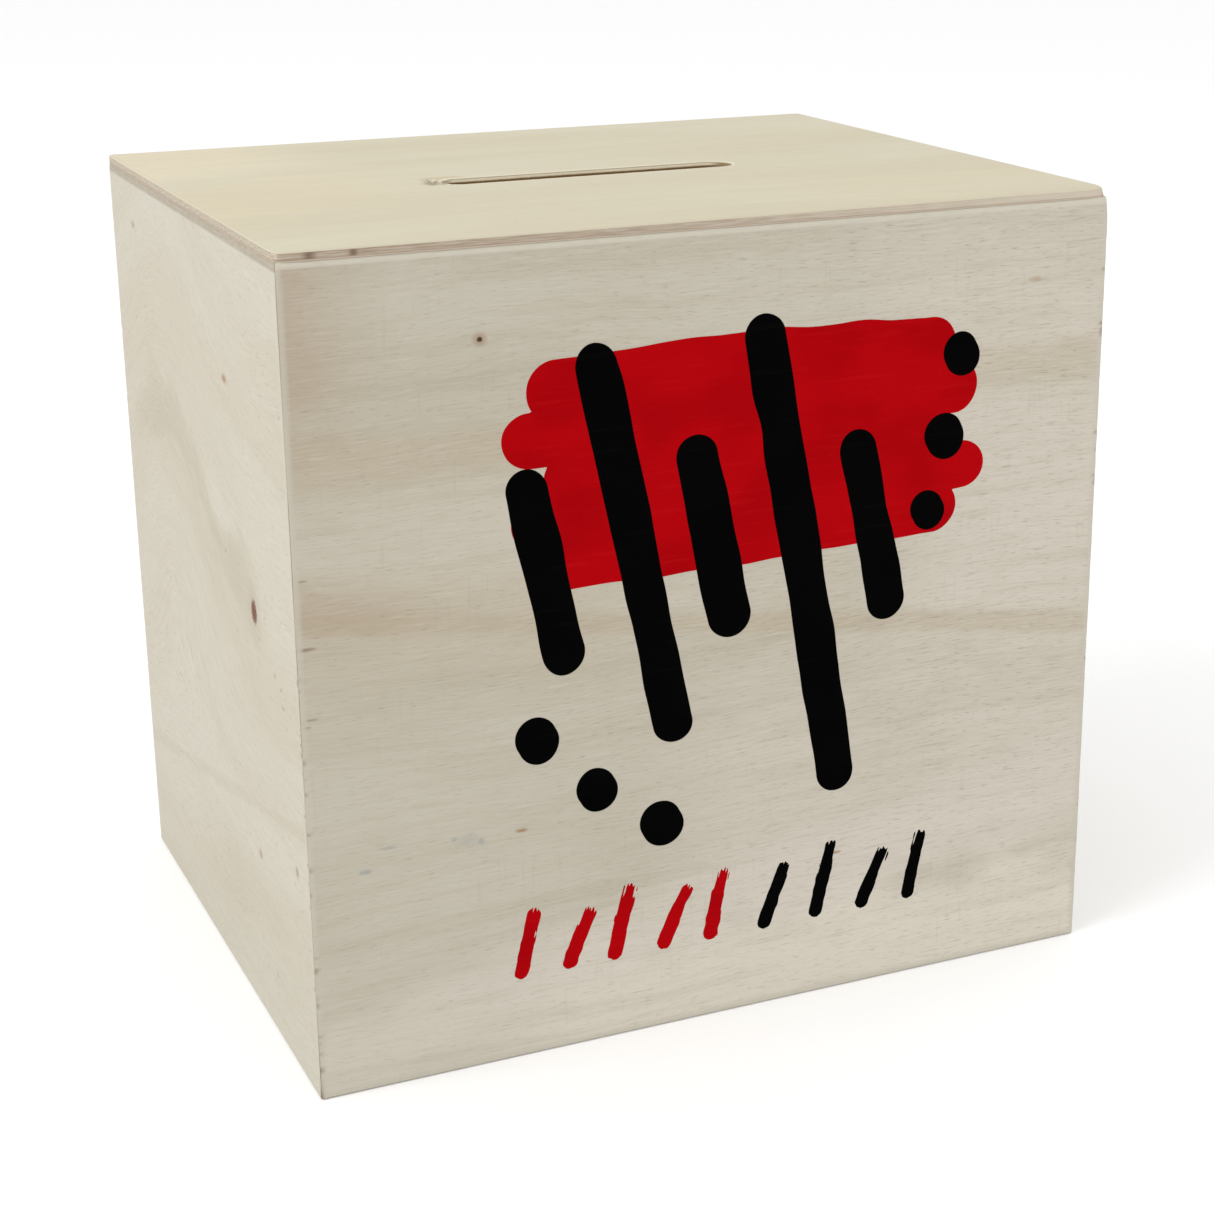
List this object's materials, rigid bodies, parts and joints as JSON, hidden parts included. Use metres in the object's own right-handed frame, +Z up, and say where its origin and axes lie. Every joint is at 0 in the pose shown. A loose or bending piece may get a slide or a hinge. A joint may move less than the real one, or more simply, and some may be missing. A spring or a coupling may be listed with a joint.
{
  "type": "wooden money box",
  "caption": "Plywood money box: slotted top glued on mitred walls, inset base on cleats, and a pull-out plug in the base for emptying it.",
  "frame": {"origin": "middle of the rim that the box stands on, on the resting plane", "axes": "+Z up; the printed front faces -Y; +X runs along the long side, parallel to the money slot"},
  "size_m": [0.25, 0.2, 0.24],
  "materials": {
    "poplar_plywood": "sanded, unfinished",
    "softwood_batten": "planed, unfinished",
    "brad_wire": "bright drawn wire",
    "soft_plug": "satin moulded",
    "print_red": "flat printing ink",
    "print_black": "flat printing ink"
  },
  "bodies": {
    "box": {"top_panel": "poplar_plywood", "front_panel": "poplar_plywood", "back_panel": "poplar_plywood", "left_panel": "poplar_plywood", "right_panel": "poplar_plywood", "base_panel": "poplar_plywood", "post_front_left": "softwood_batten", "post_front_right": "softwood_batten", "post_back_left": "softwood_batten", "post_back_right": "softwood_batten", "cleat_front": "softwood_batten", "cleat_back": "softwood_batten", "cleat_left": "softwood_batten", "cleat_right": "softwood_batten", "base_brads": "brad_wire"},
    "plug": {"base_plug": "soft_plug"}
  },
  "joints": [
    {"name": "plug_pull", "type": "slide", "parent": "box", "child": "plug", "axis": [0, 0, -1], "range_m": [0, 0.03]}
  ]
}
